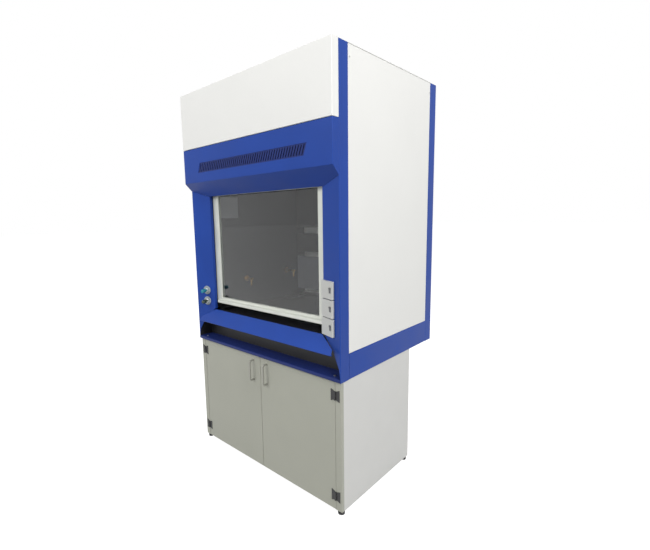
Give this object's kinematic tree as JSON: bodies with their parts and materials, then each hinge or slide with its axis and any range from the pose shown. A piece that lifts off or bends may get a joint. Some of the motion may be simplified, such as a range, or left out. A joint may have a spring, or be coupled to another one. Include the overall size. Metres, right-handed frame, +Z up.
{
  "type": "fume hood",
  "caption": "Ducted laboratory fume hood with a counterbalanced vertical sash, side service valves and power plates, on a two-door base cabinet.",
  "frame": {"origin": "on the floor, under the middle of the overall width and depth", "axes": "+Z up, -Y towards the user at the sash, +X to the user's right"},
  "size_m": [1.2, 1.006, 2.38],
  "materials": {
    "white_paint": "satin powder coat",
    "blue_paint": "satin powder coat",
    "black_paint": "matt black",
    "steel": "brushed",
    "aluminium": "satin anodised",
    "liner_board": "matt laminate",
    "pale_plastic": "smooth",
    "grey_plastic": "smooth",
    "black_plastic": "matt",
    "teal_plastic": "smooth",
    "green_plastic": "smooth",
    "glass": "clear toughened",
    "iron": "as cast",
    "sink_plastic": "moulded",
    "worktop_stone": "matt epoxy resin",
    "brass": "coated",
    "copper": "drawn tube",
    "cabinet_board": "pale grey laminate"
  },
  "bodies": {
    "hood": {"baffle_lower": "liner_board", "baffle_middle": "liner_board", "baffle_upper": "liner_board", "bypass_grille": "blue_paint", "cabinet_back": "cabinet_board", "cabinet_floor": "cabinet_board", "cabinet_frame": "cabinet_board", "cabinet_side_left": "cabinet_board", "cabinet_side_right": "cabinet_board", "cup_sink": "sink_plastic", "exhaust_collar": "steel", "fascia": "blue_paint", "frame_hinges": "black_paint", "front_post_left": "blue_paint", "front_post_right": "blue_paint", "lamp_housing": "white_paint", "ledge": "blue_paint", "levelling_feet": "black_plastic", "liner_ceiling": "liner_board", "liner_cover": "pale_plastic", "liner_left": "liner_board", "liner_right": "liner_board", "outlet_plates": "pale_plastic", "pulley_brackets": "steel", "rear_panel": "white_paint", "rear_post_left": "blue_paint", "rear_post_right": "blue_paint", "recess_panel": "black_paint", "roof_panel": "white_paint", "sash_cable_left": "steel", "sash_cable_right": "steel", "sash_tracks": "black_plastic", "screws": "steel", "service_outlets": "brass", "service_pipes": "copper", "service_valves": "grey_plastic", "side_panel_left": "white_paint", "side_panel_right": "white_paint", "side_rail_left": "blue_paint", "side_rail_right": "blue_paint", "sill": "blue_paint", "upper_front_panel": "white_paint", "worktop": "worktop_stone"},
    "sash": {"sash_frame": "aluminium", "sash_glass": "glass"},
    "weight_left": {"counterweight_left": "iron"},
    "weight_right": {"counterweight_right": "iron"},
    "wheel_left": {"pulley_left": "aluminium"},
    "wheel_right": {"pulley_right": "aluminium"},
    "knob_upper": {"service_knob_upper": "teal_plastic"},
    "knob_lower": {"service_knob_lower": "green_plastic"},
    "key_top": {"rocker_top": "grey_plastic"},
    "key_middle": {"rocker_middle": "grey_plastic"},
    "key_bottom": {"rocker_bottom": "grey_plastic"},
    "leaf_left": {"door_left": "cabinet_board", "handle_left": "steel", "door_hinge_left": "black_paint"},
    "leaf_right": {"door_right": "cabinet_board", "handle_right": "steel", "door_hinge_right": "black_paint"}
  },
  "joints": [
    {"name": "sash_slide", "type": "slide", "parent": "hood", "child": "sash", "axis": [0, 0, 1], "range_m": [0, 0.57], "deforming": ["sash_cable_left", "sash_cable_right"]},
    {"name": "weight_left_slide", "type": "slide", "parent": "hood", "child": "weight_left", "axis": [0, 0, 1], "range_m": [-0.57, 0]},
    {"name": "pulley_left_turn", "type": "hinge", "parent": "hood", "child": "wheel_left", "pos_m": [-0.498, -0.353, 2.2], "axis": [0, 1, 0], "range_deg": [-800, 0]},
    {"name": "weight_right_slide", "type": "slide", "parent": "hood", "child": "weight_right", "axis": [0, 0, 1], "range_m": [-0.57, 0]},
    {"name": "pulley_right_turn", "type": "hinge", "parent": "hood", "child": "wheel_right", "pos_m": [0.498, -0.353, 2.2], "axis": [0, 1, 0], "range_deg": [0, 800]},
    {"name": "knob_upper_turn", "type": "hinge", "parent": "hood", "child": "knob_upper", "pos_m": [-0.51384, -0.45015, 1.054], "axis": [0.3078, -0.9514, 0], "range_deg": [0, 270]},
    {"name": "knob_lower_turn", "type": "hinge", "parent": "hood", "child": "knob_lower", "pos_m": [-0.51384, -0.45015, 0.983], "axis": [0.3078, -0.9514, 0], "range_deg": [0, 270]},
    {"name": "rocker_top_tilt", "type": "hinge", "parent": "hood", "child": "key_top", "pos_m": [0.53154, -0.44747, 1.166], "axis": [0.9514, -0.3078, 0], "range_deg": [-16, 0]},
    {"name": "rocker_middle_tilt", "type": "hinge", "parent": "hood", "child": "key_middle", "pos_m": [0.53154, -0.44747, 1.073], "axis": [0.9514, -0.3078, 0], "range_deg": [-16, 0]},
    {"name": "rocker_bottom_tilt", "type": "hinge", "parent": "hood", "child": "key_bottom", "pos_m": [0.53154, -0.44747, 0.98], "axis": [0.9514, -0.3078, 0], "range_deg": [-16, 0]},
    {"name": "door_left_swing", "type": "hinge", "parent": "hood", "child": "leaf_left", "pos_m": [-0.556, -0.448, 0.37], "axis": [0, 0, 1], "range_deg": [-110, 0]},
    {"name": "door_right_swing", "type": "hinge", "parent": "hood", "child": "leaf_right", "pos_m": [0.556, -0.448, 0.37], "axis": [0, 0, 1], "range_deg": [0, 110]}
  ],
  "couplings": [
    {"joint": "weight_left_slide", "follows": "sash_slide", "ratio": -1},
    {"joint": "weight_right_slide", "follows": "sash_slide", "ratio": -1},
    {"joint": "pulley_left_turn", "follows": "sash_slide", "rad_per_m": -23.81},
    {"joint": "pulley_right_turn", "follows": "sash_slide", "rad_per_m": 23.81}
  ]
}
